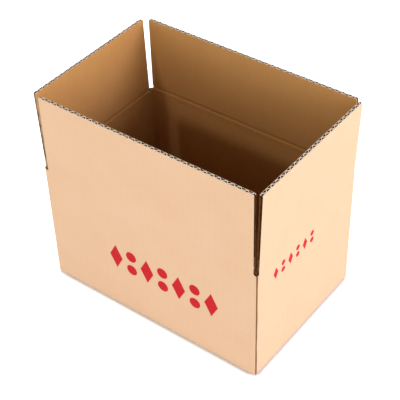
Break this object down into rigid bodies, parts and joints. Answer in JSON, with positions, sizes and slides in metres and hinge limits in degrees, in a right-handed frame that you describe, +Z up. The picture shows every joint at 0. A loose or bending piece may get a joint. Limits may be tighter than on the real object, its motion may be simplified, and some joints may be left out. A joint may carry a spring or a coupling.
{
  "type": "corrugated shipping carton",
  "caption": "Open-topped corrugated cardboard carton for packing jars, with two long outer and two short inner top flaps hinged on their score lines.",
  "frame": {"origin": "middle of the carton's underside, on the plane it stands on", "axes": "+X along the long side towards the end with the lap joint's wall, +Y from the front wall to the back wall, +Z up"},
  "size_m": [0.235, 0.153, 0.2056],
  "materials": {
    "kraft_board": "matt kraft paper liner",
    "fluted_flap": "matt kraft paper liner with open flute ends"
  },
  "bodies": {
    "carton": {"carton_body": "kraft_board"},
    "front_flap_body": {"front_flap": "fluted_flap"},
    "back_flap_body": {"back_flap": "fluted_flap"},
    "right_flap_body": {"right_flap": "fluted_flap"},
    "left_flap_body": {"left_flap": "fluted_flap"}
  },
  "joints": [
    {"name": "front_flap_fold", "type": "hinge", "parent": "carton", "child": "front_flap_body", "pos_m": [0, -0.07665, 0.1305], "axis": [-1, 0, 0], "range_deg": [-178, 90]},
    {"name": "back_flap_fold", "type": "hinge", "parent": "carton", "child": "back_flap_body", "pos_m": [0, 0.07665, 0.1305], "axis": [1, 0, 0], "range_deg": [-178, 90]},
    {"name": "right_flap_fold", "type": "hinge", "parent": "carton", "child": "right_flap_body", "pos_m": [0.11515, 0, 0.1272], "axis": [0, -1, 0], "range_deg": [-176.2, 91.8]},
    {"name": "left_flap_fold", "type": "hinge", "parent": "carton", "child": "left_flap_body", "pos_m": [-0.11515, 0, 0.1272], "axis": [0, 1, 0], "range_deg": [-176.2, 91.8]}
  ]
}
